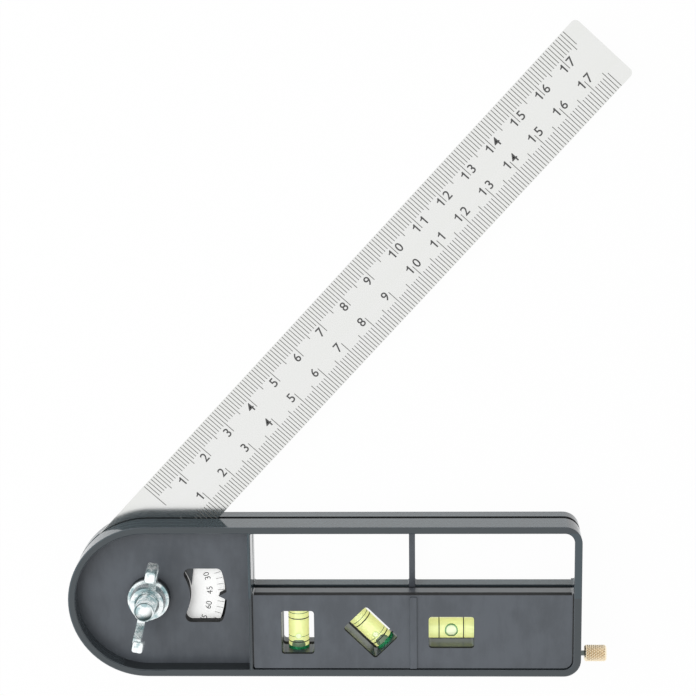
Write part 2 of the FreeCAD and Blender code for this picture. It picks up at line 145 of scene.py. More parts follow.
def turn_flat(points, degrees):
    """Turn points about +Z."""
    angle = math.radians(degrees)
    x, y = points[..., 0], points[..., 1]
    return np.stack([x * math.cos(angle) - y * math.sin(angle), x * math.sin(angle) + y * math.cos(angle),
                     points[..., 2]], axis=-1)


def blocks(centres, halves, angles):
    """Bars for the graduation, all at once: centres, half sizes and turns about +Z, and their faces."""
    corner = np.array([[x, y, z] for x in (-1, 1) for y in (-1, 1) for z in (-1, 1)], float)
    local = corner[None] * np.asarray(halves, float)[:, None, :]
    turn = np.radians(np.asarray(angles, float))[:, None]
    x = local[..., 0] * np.cos(turn) - local[..., 1] * np.sin(turn)
    y = local[..., 0] * np.sin(turn) + local[..., 1] * np.cos(turn)
    points = np.stack([x, y, local[..., 2]], axis=-1) + np.asarray(centres, float)[:, None, :]
    quads = np.array([[0, 1, 3, 2], [4, 6, 7, 5], [0, 4, 5, 1], [2, 3, 7, 6], [0, 2, 6, 4], [1, 5, 7, 3]])
    faces = quads[None] + (np.arange(len(points)) * len(corner))[:, None, None]
    return points.reshape(-1, 3), faces.reshape(-1, 4)


# %% [markdown]
# ## Shader maths
#
# A finish is mostly sums and products of patterns, and such a sum reads best as a sum. `Wire` wraps one
# output socket of a node. Adding, multiplying or raising wires adds the Math nodes, and its method `node`
# adds any other node: first the settings, then the values or links of the sockets.

# %% Wires
class Wire:
    """One output socket of a shader node, with arithmetic."""

    def __init__(self, tree, socket):
        self.tree = tree
        self.socket = socket

    def node(self, kind, settings=(), sockets=(), output=0):
        """A new node of the same material: its settings, then the values or links of its input sockets."""
        made = self.tree.nodes.new(kind)
        for name, value in dict(settings).items():
            setattr(made, name, value)
        for name, value in dict(sockets).items():
            if isinstance(value, Wire):
                self.tree.links.new(value.socket, made.inputs[name])
            else:
                made.inputs[name].default_value = value
        return Wire(self.tree, made.outputs[output])

    def calculated(self, operation, first, second=0.0):
        """A Math node of one or two wires or numbers."""
        return self.node("ShaderNodeMath", {"operation": operation}, {0: first, 1: second})

    def __add__(self, other):
        return self.calculated("ADD", self, other)

    def __sub__(self, other):
        return self.calculated("SUBTRACT", self, other)

    def __rsub__(self, other):
        return self.calculated("SUBTRACT", other, self)

    def __mul__(self, other):
        return self.calculated("MULTIPLY", self, other)

    def __pow__(self, other):
        return self.calculated("POWER", self, other)

    def magnitude(self):
        return self.calculated("ABSOLUTE", self)

    def largest(self, other):
        return self.calculated("MAXIMUM", self, other)

    __radd__ = __add__
    __rmul__ = __mul__


def step(wire, low, high):
    """0 below low, 1 above high, and a smooth rise between."""
    return wire.node("ShaderNodeMapRange", {"interpolation_type": "SMOOTHSTEP"},
                     {"Value": wire, "From Min": low, "From Max": high})


soft_edge = 0.1                 # millimetres over which one tone of the case gives way to the next


def beyond(wire, low):
    """0 up to a place and 1 beyond its soft edge."""
    return step(wire, low, low + soft_edge)


def short_of(wire, high, edge=soft_edge):
    """1 up to a place, less the edge before it, and 0 beyond."""
    return 1 - step(wire, high - edge, high)


def between(wire, low, high):
    """1 between two places, with soft edges inwards."""
    return beyond(wire, low) * short_of(wire, high)


def mixed(amount, first, second):
    """Colour between two, by amount."""
    colours = [(*colour, 1) if isinstance(colour, tuple) else colour for colour in (first, second)]
    return amount.node("ShaderNodeMix", {"data_type": "RGBA"}, {0: amount, 6: colours[0], 7: colours[1]}, 2)


def cloud(place, per_metre, detail=2.0, roughness=0.5):
    """Soft noise from 0 to 1, with so many blotches per metre."""
    return place.node("ShaderNodeTexNoise", {}, {"Vector": place, "Scale": per_metre, "Detail": detail,
                                                 "Roughness": roughness})


def stretched(place, scale, degrees=0.0):
    """Coordinates turned about +Z, then stretched by three factors."""
    turned_place = place.node("ShaderNodeVectorRotate", {"rotation_type": "Z_AXIS"},
                              {"Vector": place, "Angle": math.radians(-degrees)})
    return place.node("ShaderNodeVectorMath", {"operation": "MULTIPLY"}, {0: turned_place, 1: scale})


def bumped(height, strength, distance):
    """Normals of a height pattern; distance is its depth in metres."""
    return height.node("ShaderNodeBump", {}, {"Strength": strength, "Distance": distance, "Height": height})


def new_finish(name):
    """A material, and the wire of its Object coordinates."""
    material = bpy.data.materials.new(name)
    material.use_nodes = True
    tree = material.node_tree
    return material, Wire(tree, tree.nodes.new("ShaderNodeTexCoord").outputs["Object"])


def set_shader(material, **sockets):
    """Values and wires of the Principled shader's sockets, named with underscores for spaces."""
    shader = material.node_tree.nodes["Principled BSDF"]
    for name, value in sockets.items():
        socket = shader.inputs[name.replace("_", " ")]
        if isinstance(value, Wire):
            material.node_tree.links.new(value.socket, socket)
        else:
            socket.default_value = (*value, 1) if isinstance(value, tuple) else value
    return material


def split(place):
    """Wires of x, y and z in millimetres."""
    parts = place.node("ShaderNodeSeparateXYZ", {}, {0: place})
    return [Wire(place.tree, socket) * (1 / mm) for socket in parts.socket.node.outputs]


def own_amount(place):
    """Wire of the piece's own attribute, the values that make_piece was given."""
    return place.node("ShaderNodeAttribute", {"attribute_name": "amount"}, {}, 2)


def finish_node(name, material):
    """Give a piece of the frame its finish."""
    nodes[name].data.materials.clear()
    nodes[name].data.materials.append(material)


# %% [markdown]
# ## Case plastic
#
# The shells are moulded in a dark blue-grey plastic. Their flats carry the fine grain of an eroded mould,
# which scatters light and looks paler. Rims and walls were polished in the mould: a wall seen at a glancing
# angle mirrors the white ground. The flats lie at known heights, so one mask by height tells them from the
# rest, and the strut between the long windows counts as one of them. Round the openings and along the
# windows, the upper part of each wall is painted dull and almost black as painted shade. So are the slot and
# the walls of the reading window, and about half as much the inside of the head's rim and less the front
# ledge's wall. The walls that face the white ground get a lighter, bluer grey than the rims as painted light.
# The walls of the vials' openings are rougher than the outer ones, and those of the long windows are palest
# below the slot, as a painted highlight.

# %% Case plastic
flat_heights = (1.0, 3.0, 9.4, 11.7, 14.4, 14.8)    # back panel, both webs, washer's seat, panel, rib
flat_grey = (0.083, 0.094, 0.109)
# Painted light: a lighter, bluer grey for the walls that face the white ground.
lit_wall_grey = (0.050, 0.073, 0.086)
# Painted highlight: paler still, for the long windows' walls below the slot.
painted_highlight_wall = (0.100, 0.140, 0.155)
polished_grey = (0.045, 0.056, 0.063)
# Painted shade: near-black colour for the upper walls, the slot and the reading window's walls.
painted_shade_black = (0.012, 0.013, 0.014)
pale_wear = (0.22, 0.23, 0.245)
panel_left, panel_right, panel_low, panel_high = 30.6, 122.2, -20.2, 3.0    # with the vials and the ledge
ledge_low = 1.2                 # where the ledge and the long windows begin
strut_high, wall_high = 20.6, 20.8  # upper ends of the strut and of the long windows' walls
# Heights of the painted shade on a wall's upper part.
shade_from, ledge_shade_from, shade_to = 13.2, 11.3, 14.34     # heights of the dull upper part of a wall
slot_low, slot_high, slot_reach = 4.5, 6.7, 22.62   # heights of the blade's slot; reach from the pivot
recess_floor, recess_reach, recess_end = 9.5, 20.8, 29.2    # the head's recess: height, reach and end
strut_left, strut_right = 75.2, 77.3
window_left, window_right, window_low, window_high = 6.5, 23.5, -8.4, 9.0   # round the reading window
window_top = 9.34
shelf_top = 7.0                 # narrow shelf inside the reading window
fine_edge = 0.05


def make_case_plastic():
    """Grained flats, polished rims and walls, painted shade on upper walls and painted light on walls facing
    the ground, with clouds and a few pale rubbed spots.
    """
    material, place = new_finish("case_plastic")
    x, y, z = split(place)
    flat = 0.0
    for height in flat_heights:
        flat = flat + (1 - step((z - height).magnitude(), 0.03, 0.07))
    flow = cloud(place, 55.0, 3.0, 0.6)
    grain = cloud(place, 5200.0, 2.0, 0.55)
    streaks = cloud(stretched(place, (2200.0, 160.0, 900.0), 24.0), 1.0, 3.0, 0.6)
    rubbed = step(streaks, 0.69, 0.80) * step(cloud(place, 130.0, 2.0), 0.52, 0.62)
    inside = between(x, panel_left, panel_right) * between(y, panel_low, panel_high)
    ledge = beyond(y, ledge_low)
    shade_start = shade_from - ledge * (shade_from - ledge_shade_from)
    upper_walls = inside * step(z - shade_start, -0.3, 0.3) * (1 - step(z, shade_to, shade_to + 0.04))
    round_end = (0 - x).largest(0.0)
    from_middle = (round_end * round_end + y * y) ** 0.5
    slot = between(z, slot_low, slot_high) * short_of(from_middle, slot_reach, fine_edge)
    past_head = beyond(x, recess_end)
    over_hole = past_head * between(y, ledge_low, strut_high)
    strut = over_hole * between(x, strut_left, strut_right)
    slot = slot * (1 - over_hole * 0.6) * (1 - strut)
    flat = strut.largest(flat)
    window = (between(x, window_left, window_right) * between(y, window_low, window_high)
              * (1 - step(z, window_top, window_top + 0.04)))
    recess = (between(z, recess_floor, shade_to + 0.4) * short_of(x, recess_end, fine_edge)
              * short_of(from_middle, recess_reach, fine_edge))
    shelf = 1 - step((z - shelf_top).magnitude(), 0.02, 0.04)
    # Painted shade: upper walls, slot and reading window's walls nearly black, the head rim's inside about
    # half.
    dull_painted_shade = upper_walls.largest(slot).largest(window * (1 - shelf)).largest(recess * 0.55)
    front_ledge = inside * ledge * beyond(z, slot_high) * (1 - flat)
    # Painted shade: a third as much on the front ledge's wall.
    dull_painted_shade = dull_painted_shade.largest(front_ledge * 0.3)
    vial_walls = inside * (1 - ledge) * (1 - flat)
    long_walls = past_head * between(y, ledge_low, wall_high) * (1 - flat)
    blotches = cloud(stretched(place, (260.0, 90.0, 260.0), 0.0), 1.0, 4.0, 0.65)
    paler, darker = [tuple(share * c for c in flat_grey) for share in (1.08, 0.82)]
    moulded = mixed(step(flow + (blotches - 0.5) * 0.8, 0.3, 0.7), paler, darker)
    outer_wall = step(from_middle, slot_reach - 0.2, slot_reach) * (1 - flat)
    # Painted light on the walls that face the ground, and a painted highlight below the slot.
    painted_lit_wall = mixed(outer_wall.largest(vial_walls).largest(long_walls), polished_grey, lit_wall_grey)
    highlight_low_wall = long_walls * short_of(z, slot_low)
    tone = mixed(flat, mixed(highlight_low_wall, painted_lit_wall, painted_highlight_wall), moulded)
    colour = mixed(dull_painted_shade, mixed(rubbed * 0.4, tone, pale_wear), painted_shade_black)
    roughness = 0.06 + flat * (0.40 + (grain - 0.5) * 0.14) + dull_painted_shade * 0.85 + vial_walls * 0.28
    relief = grain * flat + streaks * 0.1
    return set_shader(material, Base_Color=colour, Roughness=roughness, Normal=bumped(relief, 0.5, 0.000035),
                      IOR=1.55)


case_plastic = make_case_plastic()
for shell in ("front_shell", "rear_shell"):
    finish_node(shell, case_plastic)

# %% [markdown]
# ## Metals
#
# The ruler is rolled stainless steel, brushed along its length: the scratches are a noise stretched a
# hundredfold in the ruler's direction. They change the roughness, so that the blade mirrors the case's dark
# edge softly, as the real one does. The nut, bolt and washer are bright zinc, slightly uneven from the
# plating bath, with a faint painted glow; the roots of the bolt's thread are darkened as painted shade. The
# needle is hardened steel, left dark, and the knob is brass. The root of the ruler, under the degree scale,
# is lacquered white and has a painted glow.

# %% Metals
swing = next(joint for joint in frame["joints"] if joint["name"] == "blade_swing")
opening_degrees = -swing["range_deg"][0]
dial_radius = 21.8              # the white lacquer round the pivot, under the degree scale
# White lacquer; the same colour feeds the root's painted glow.
lacquer_and_glow = (0.97, 0.975, 0.965)


def make_blade_steel():
    """Brushed steel with fine streaks along the blade and wider bands; white lacquer with a painted glow on
    its root.
    """
    material, place = new_finish("blade_steel")
    x, y, _ = split(place)
    dial = short_of((x * x + y * y) ** 0.5, dial_radius, 0.02)
    streaks = cloud(stretched(place, (40.0, 9000.0, 9000.0), opening_degrees), 1.0, 4.0, 0.65)
    bands = cloud(stretched(place, (6.0, 260.0, 260.0), opening_degrees), 1.0, 2.0)
    colour = mixed(bands, (0.81, 0.82, 0.79), (0.85, 0.85, 0.85))
    # Painted glow: the lacquered root emits its own white.
    return set_shader(material, Base_Color=mixed(dial, colour, lacquer_and_glow), Metallic=1 - dial,
                      Roughness=0.13 + streaks * 0.06 + bands * 0.02 + dial * 0.35,
                      Normal=bumped(streaks, 0.04, 0.00001),
                      Emission_Color=mixed(dial, (0.0, 0.0, 0.0), lacquer_and_glow), Emission_Strength=0.24)


def make_zinc():
    """Bright plating with a soft orange-peel, duller patches and a faint painted glow; the attribute is a
    thread's depth, whose roots are darkened as painted shade.
    """
    material, place = new_finish("zinc_plate")
    peel = cloud(place, 900.0, 2.0)
    patches = cloud(place, 360.0, 3.0, 0.6)
    colour = mixed(step(patches, 0.38, 0.58), (0.40, 0.54, 0.56), (0.95, 0.99, 0.99))
    groove = own_amount(place)
    # Painted shade: the thread's roots are darkened to near black.
    colour = mixed(step(groove, 0.1, 0.8), colour, (0.03, 0.05, 0.05))
    # Painted glow: a weak emission of the plating's own colour.
    return set_shader(material, Base_Color=colour, Metallic=0.78, Normal=bumped(peel, 0.16, 0.00006),
                      Roughness=0.16 + step(patches, 0.35, 0.75) * 0.16, Emission_Color=colour,
                      Emission_Strength=0.06)


def make_needle_steel():
    """Hardened steel, left dark, with fine rings from the grinding wheel."""
    material, place = new_finish("needle_steel")
    rings = cloud(stretched(place, (9000.0, 60.0, 60.0)), 1.0, 2.0)
    colour = mixed(rings, (0.09, 0.11, 0.10), (0.20, 0.22, 0.21))
    return set_shader(material, Base_Color=colour, Metallic=1.0, Roughness=0.24 + rings * 0.12,
                      Normal=bumped(rings, 0.1, 0.000008))


def make_brass():
    """Bright turned brass, browner down in the knurl's grooves; the attribute is the depth of the groove."""
    material, place = new_finish("brass")
    groove = own_amount(place)
    tarnish = cloud(place, 1500.0, 3.0, 0.6)
    bright = mixed(tarnish, (0.99, 0.90, 0.70), (0.97, 0.82, 0.58))
    colour = mixed(step(groove, 0.25, 1.0) * 0.4, bright, (0.55, 0.34, 0.17))
    return set_shader(material, Base_Color=colour, Metallic=1.0, Normal=bumped(tarnish, 0.1, 0.00001),
                      Roughness=0.26 + groove * 0.2 + tarnish * 0.08)


blade_steel = make_blade_steel()
zinc_plate = make_zinc()
needle_steel = make_needle_steel()
brass = make_brass()
for node, metal in (("blade", blade_steel), ("pivot_bolt", zinc_plate), ("washer", zinc_plate),
                    ("wing_nut", zinc_plate), ("scriber_needle", needle_steel), ("scriber_head", brass)):
    finish_node(node, metal)

# %% [markdown]
# ## Vial finishes
#
# A vial is a clear acrylic tube with a yellow-green spirit in it. The tube bends light so strongly that the
# filling seems as wide as the tube, so the tube is a transmitting shader at acrylic's index. The filling has
# a painted glow, a weak emission of its own colour that stands in for the light through the spirit and for
# the dye's faint glow by daylight, and it is paler along its middle line as painted light. The filling's
# attribute runs from its middle line to its sides, where the colour deepens, and marks with a 2 what would
# show through clear spirit: the plug's nose and the far side of the rings.

# %% Vial finishes
def make_clear_tube():
    """Acrylic: clear, with a breath of haze."""
    material, place = new_finish("clear_tube")
    haze = cloud(place, 700.0, 2.0)
    return set_shader(material, Base_Color=(0.97, 1.0, 0.93), Roughness=haze * 0.05, IOR=1.49,
                      Transmission_Weight=1.0)


def make_spirit():
    """Yellow-green with a painted glow, paler along the middle as painted light and deeper at the sides; the
    attribute is 2 where the plug's nose shows through.
    """
    material, place = new_finish("vial_liquid")
    side = own_amount(place)
    swirl = cloud(place, 420.0, 2.0)
    # Paler along the middle line as painted light, deeper towards the sides.
    depth = step(side + (swirl - 0.5) * 0.25, 0.15, 1.0)
    nose = step(side, 1.3, 1.7)
    colour = mixed(depth, (0.58, 0.62, 0.32), (0.58, 0.60, 0.26))
    colour = mixed(nose, colour, (0.16, 0.22, 0.16))
    glow = mixed(depth, (0.92, 0.96, 0.43), (1.0, 1.0, 0.42))
    glow = mixed(nose, glow, (0.10, 0.15, 0.09))
    # Painted glow: emission of the spirit's colour, paler along the middle.
    return set_shader(material, Base_Color=colour, Roughness=0.18 + swirl * 0.08, Emission_Color=glow,
                      Emission_Strength=0.66)


def make_bubble(name, middle_glow, rim_colour, rim_glow):
    """Air in the spirit, pale in the middle with a painted glow and ringed with green as painted shade, where
    the light is bent away.
    """
    material, place = new_finish(name)
    edge = own_amount(place)
    ring = step(edge, 0.62, 0.92)
    colour = mixed(ring, (0.95, 0.98, 0.80), rim_colour)
    glow = mixed(ring, middle_glow, rim_glow)
    # Painted glow in the middle and painted shade of green round it.
    return set_shader(material, Base_Color=colour, Roughness=0.08 + ring * 0.1, Emission_Color=glow,
                      Emission_Strength=0.3)


def make_green_plug():
    """Glossy translucent green, lighter in random patches, with a painted glow of its own colour."""
    material, place = new_finish("green_plug")
    wash = cloud(place, 600.0, 2.0)
    green = mixed(wash, (0.012, 0.260, 0.100), (0.040, 0.420, 0.180))
    # Painted glow: a weak emission of the plug's green.
    return set_shader(material, Base_Color=green, Roughness=0.16 + wash * 0.1, Coat_Weight=0.3,
                      Emission_Color=green, Emission_Strength=0.12)


def make_black_paint():
    """Matt black filling of a groove, a little greyer where it is thin."""
    material, place = new_finish("black_marks")
    thin = cloud(place, 2400.0, 3.0, 0.6)
    colour = mixed(thin, (0.018, 0.019, 0.018), (0.060, 0.062, 0.058))
    return set_shader(material, Base_Color=colour, Roughness=0.45 + thin * 0.2,
                      Normal=bumped(thin, 0.2, 0.00001))


clear_tube = make_clear_tube()
vial_liquid = make_spirit()
bubble_skin = make_bubble("bubble", (0.90, 0.97, 0.62), (0.16, 0.40, 0.16), (0.02, 0.10, 0.03))
faint_skin = make_bubble("faint_bubble", (0.80, 0.88, 0.42), (0.68, 0.76, 0.34), (0.62, 0.70, 0.24))
green_plug = make_green_plug()
black_marks = make_black_paint()
vials = ("level", "plumb", "mitre")
for vial in vials:
    for part, finish in (("tube", clear_tube), ("liquid", vial_liquid), ("plug", green_plug),
                         ("rings", black_marks)):
        finish_node(vial + "_" + part, finish)

# %% [markdown]
# ## Graduation
#
# Both long edges of the ruler carry millimetres: short lines, longer ones at each five, and the longest at
# each centimetre. The lines are bars a hundredth of a millimetre proud of the steel, all worked out in one
# array in the ruler's own directions and then turned to the opening angle. The numerals come from text,
# which becomes a mesh at once, so that it can be placed point by point as the bars are. Only the 1 is drawn
# from listed points, as a plain bar with a flag. A number of one digit stands before its line, and one of two
# digits has the line between them.

# %% Ruler lines
_, blade_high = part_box("blade")
blade_face = blade_high.z / mm
inner_edge = 0.4                # ruler's edge beside the pivot
outer_edge = 22.6
zero_line = 23.03               # first line, from the pivot's axis
last_line = 176                 # millimetres graduated
line_width = 0.21
short_line, middle_line, long_line = 5.1, 6.25, 8.3
line_margin = 0.12              # from a line's end to the ruler's edge
ink_height = 0.012


def make_etched_grey(name, dark, pale):
    """Etched figures and lines: dull grey, uneven where the etching was shallow."""
    material, place = new_finish(name)
    shallow = cloud(place, 1500.0, 3.0, 0.6)
    return set_shader(material, Base_Color=mixed(shallow, dark, pale), Roughness=0.5 + shallow * 0.2)


etched_line = make_etched_grey("etched_line", (0.07, 0.07, 0.065), (0.19, 0.19, 0.18))
etched_figure = make_etched_grey("etched_figure", (0.04, 0.04, 0.04), (0.11, 0.11, 0.11))


def ruler_lines():
    """Bars across both edges: length by the millimetre's number, 10, 5 or other."""
    number = np.arange(last_line + 1)
    length = np.where(number % 10 == 0, long_line, np.where(number % 5 == 0, middle_line, short_line))
    along = zero_line + number
    upper = np.stack([along, outer_edge - line_margin - length / 2], axis=-1)
    lower = np.stack([along, inner_edge + line_margin + length / 2], axis=-1)
    centres = np.concatenate([upper, lower])
    centres = np.column_stack([centres, np.full(len(centres), blade_face)])
    halves = np.column_stack([np.full(len(centres), line_width / 2), np.tile(length, 2) / 2,
                              np.full(len(centres), ink_height)])
    turns = np.full(len(centres), opening_degrees)
    points, faces = blocks(turn_flat(centres, opening_degrees), halves, turns)
    piece = make_piece("ruler_lines", points, faces, etched_line)
    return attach(piece, "blade")


ruler_lines()


# %% Numerals
def figure_one():
    """The figure 1 as an upright bar with a sloping flag, one unit high, as points and triangles."""
    outline = np.array([[0.10, -0.5], [0.26, -0.5], [0.26, 0.5], [0.14, 0.5], [0.02, 0.34], [-0.17, 0.26],
                        [-0.17, 0.14], [0.10, 0.20]])
    count = len(outline)
    fan = np.array([[0, 1, 2], [0, 2, 7], [7, 2, 3], [7, 3, 4], [7, 4, 5], [7, 5, 6]])
    rim = np.arange(count)
    after = (rim + 1) % count
    sides = np.concatenate([np.stack([rim, after, after + count], axis=1),
                            np.stack([rim, after + count, rim + count], axis=1)])
    points = np.concatenate([np.column_stack([outline, np.full(count, side)]) for side in (1.0, -1.0)])
    return points, np.concatenate([fan, fan[:, ::-1] + count, sides[:, ::-1]])


def numeral(text, height, weight=0.0):
    """Points in millimetres and triangles of a line of text, centred, of the given height of figures."""
    if text == "1":
        points, triangles = figure_one()
        return points * [height, height, ink_height], triangles
    curve = bpy.data.curves.new("numeral", "FONT")
    curve.body = text
    curve.size = 1.0
    curve.resolution_u = 3
    curve.extrude = 0.01
    curve.offset = weight
    curve.align_x = "CENTER"
    holder = bpy.data.objects.new("numeral", curve)
    bpy.context.scene.collection.objects.link(holder)
    bpy.context.view_layer.update()
    mesh = bpy.data.meshes.new_from_object(holder.evaluated_get(bpy.context.evaluated_depsgraph_get()))
    points = np.zeros(len(mesh.vertices) * 3, np.float32)
    mesh.vertices.foreach_get("co", points)
    points = points.reshape(-1, 3)
    mesh.calc_loop_triangles()
    triangles = np.zeros(len(mesh.loop_triangles) * 3, np.int32)
    mesh.loop_triangles.foreach_get("vertices", triangles)
    bpy.data.objects.remove(holder)
    bpy.data.curves.remove(curve)
    bpy.data.meshes.remove(mesh)
    low, high = points.min(0), points.max(0)
    scale = height / (high[1] - low[1])
    points[:, :2] = (points[:, :2] - (low[:2] + high[:2]) / 2) * scale
    points[:, 2] = np.sign(points[:, 2]) * ink_height
    return points, triangles.reshape(-1, 3)


def lettering(name, entries, body, weight=0.0):
    """One piece of many numerals: (text, height, x, y, turn) each, lying on the ruler's face."""
    all_points, all_faces, count = [], [], 0
    for text, height, x, y, degrees in entries:
        points, faces = numeral(text, height, weight)
        points = turn_flat(points, degrees) + np.array([x, y, 0.0])
        all_points.append(points)
        all_faces.append(faces + count)
        count += len(points)
    points = np.concatenate(all_points)
    points[:, 2] += blade_face
    points = turn_flat(points, opening_degrees)
    piece = make_piece(name, points, np.concatenate(all_faces), etched_figure, 60.0)
    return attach(piece, body)


figure_height = 2.75
figure_gap = 1.55               # from a centimetre line to the middle of a digit beside it
figure_weight = 0.010           # by which the strokes are thickened
upper_row = outer_edge - 7.25   # the two rows of figures, from the pivot's axis
lower_row = inner_edge + 8.3


def ruler_figures():
    """The first digit on the pivot's side of the centimetre's line, and a second one on its other side."""
    entries = []
    for centimetre in range(1, last_line // 10 + 1):
        at = zero_line + centimetre * 10
        for row in (upper_row, lower_row):
            for digit, side in zip(str(centimetre), (-1, 1)):
                entries.append((digit, figure_height, at + side * figure_gap, row, 0.0))
    return lettering("ruler_figures", entries, "blade", figure_weight)


ruler_figures()

# %% [markdown]
# ## Degree scale
#
# The round root of the ruler carries the degrees that the window shows. The reading grows as the blade
# opens, so the line of a reading stands that many degrees clockwise from the blade's direction. Every
# fifth degree has a line, each fifteenth a number that reads upwards in the window.

# %% Degree scale
degree_inner = 19.55
degree_outer = 21.5
degree_figures_at = 17.2
line_lag, figure_lag = 0.35, 0.6    # degrees by which the printing lies behind the true angle
degree_line_width = 0.13
degree_figure_height = 1.75
last_degree = 180


def degree_scale():
    """Lines on a circle: line v at the angle -v from the blade's direction."""
    reading = np.arange(0, last_degree + 1, 5)
    angle = -np.radians(reading + line_lag)
    middle = (degree_inner + degree_outer) / 2
    half = (degree_outer - degree_inner) / 2
    centres = np.column_stack([middle * np.cos(angle), middle * np.sin(angle),
                               np.full(len(angle), blade_face)])
    halves = np.tile([half, degree_line_width / 2, ink_height], (len(angle), 1))
    points, faces = blocks(turn_flat(centres, opening_degrees), halves, opening_degrees - reading)
    piece = make_piece("degree_lines", points, faces, etched_line)
    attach(piece, "blade")
    entries = []
    for reading in range(0, last_degree + 1, 15):
        angle = -math.radians(reading + figure_lag)
        entries.append((str(reading), degree_figure_height, degree_figures_at * math.cos(angle),
                        degree_figures_at * math.sin(angle), 90.0 - reading))
    return lettering("degree_figures", entries, "blade")


degree_scale()

# %% [markdown]
# ## Knurled knob
#
# A knurl is two sets of V grooves that cross. On the grid of angle and length, each set is a triangle wave of
# a sum or a difference of the two, and the surface is the lower of both waves: what is left standing is a
# field of small pyramids. The waves fade out at the chamfered ends.

# %% Knurled knob
head_low, head_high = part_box("scriber_head")
knob_start, knob_end = head_low.x / mm, head_high.x / mm
knob_radius = (head_high.z - head_low.z) / 2 / mm
knob_centre = ((head_low + head_high) / 2 / mm)
knurl_count = 17
knurl_depth = 0.3
knurl_lead = 0.8                # below 1, the pyramids are longer along the knob than round it
knurl_crown = 1.35              # more than 1 leaves small flats on the pyramids
knob_chamfer = 0.4
dish_depth = 0.12
dish_rings = np.array([0.85, 0.55, 0.5, 0.0])[:, None]      # shares of the end's radius


def triangle_wave(turns):
    """1 at whole numbers, 0 half way between them, straight between."""
    return np.abs(2 * (turns - np.floor(turns)) - 1)


def knurled_knob():
    """Radius less the deeper of two crossing groove sets, closed by chamfered and slightly dished ends."""
    columns = knurl_count * 12
    length = knob_end - knob_start
    x = np.linspace(0, length, 121)
    angle = np.linspace(0, 2 * np.pi, columns, endpoint=False)
    across, along = np.meshgrid(angle, x)
    turns = across * knurl_count / (2 * np.pi)
    lead = along / (2 * np.pi * knob_radius / knurl_count) * knurl_lead
    ridge = np.minimum(triangle_wave(turns + lead), triangle_wave(turns - lead))
    ridge = np.clip(ridge * knurl_crown, 0, 1)
    from_end = np.minimum(along, length - along)
    fade = np.clip((from_end - knob_chamfer * 0.5) / knob_chamfer, 0, 1)
    radius = knob_radius - np.clip(knob_chamfer - from_end, 0, None) - knurl_depth * (1 - ridge) * fade
    groove = (1 - ridge) * fade
    start, end = radius[0] * dish_rings, radius[-1] * dish_rings
    inwards = np.where(dish_rings > 0.5, 0.0, dish_depth) + 0 * start
    radius = np.concatenate([start[::-1], radius, end])
    along = np.concatenate([inwards[::-1], along, length - inwards])
    groove = np.concatenate([0 * start, groove, 0 * end])
    points = np.stack([knob_start + along, knob_centre.y + radius * np.sin(angle),
                       knob_centre.z + radius * np.cos(angle)], axis=-1)
    piece = make_piece("knurled_knob", points, ring_quads(points), brass, 28.0, groove)
    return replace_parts(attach(piece, "scriber"), "scriber_head")


knurled_knob()

# %% [markdown]
# ## Threaded bolt
#
# The bolt has a coach bolt's domed head and square neck, and a rolled metric thread. The thread is a grid of
# angle and height whose radius follows a triangle wave of height over pitch, less the turned share: this is
# what winds it. Towards the tip the wave is held inside the chamfer's cone.

# %% Threaded bolt
bolt_low, bolt_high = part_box("pivot_bolt")
bolt_top = bolt_high.z / mm
bolt_bottom = bolt_low.z / mm
head_radius = bolt_high.x / mm
thread_radius = 2.97
thread_depth = 0.55
thread_pitch = 1.0
flank, root = 1.25, 0.05        # steepness of the wave and its lowering, which leave crests and roots flat
thread_start, thread_fade = 5.95, 0.8   # height of the first groove, and length over which it deepens
thread_foot = 4.5               # the shank goes this far down into the neck
bolt_chamfer = 0.65
head_rim = 0.7                  # upright edge under the dome
edge_break = 0.12               # small bevel of the head's inner edge
neck_bottom, neck_top = 3.0, 5.0
neck_half = 3.0


def thread_points(columns=64, per_pitch=10):
    """Radius = crest - depth * wave(height / pitch - angle / turn), under the cone of the chamfer."""
    rows = int((bolt_top - thread_start) / thread_pitch * per_pitch)
    height = np.linspace(thread_start, bolt_top, rows)
    angle = np.linspace(0, 2 * np.pi, columns, endpoint=False)
    around, up = np.meshgrid(angle, height)
    wave = np.clip(triangle_wave(up / thread_pitch - around / (2 * np.pi)) * flank - root, 0, 1)
    fade = np.clip((up - thread_start) / thread_fade, 0, 1)
    radius = thread_radius - thread_depth * (1 - wave) * fade
    radius = np.minimum(radius, thread_radius - bolt_chamfer + (bolt_top - up))
    return np.stack([radius * np.cos(around), radius * np.sin(around), up], axis=-1), (1 - wave) * fade


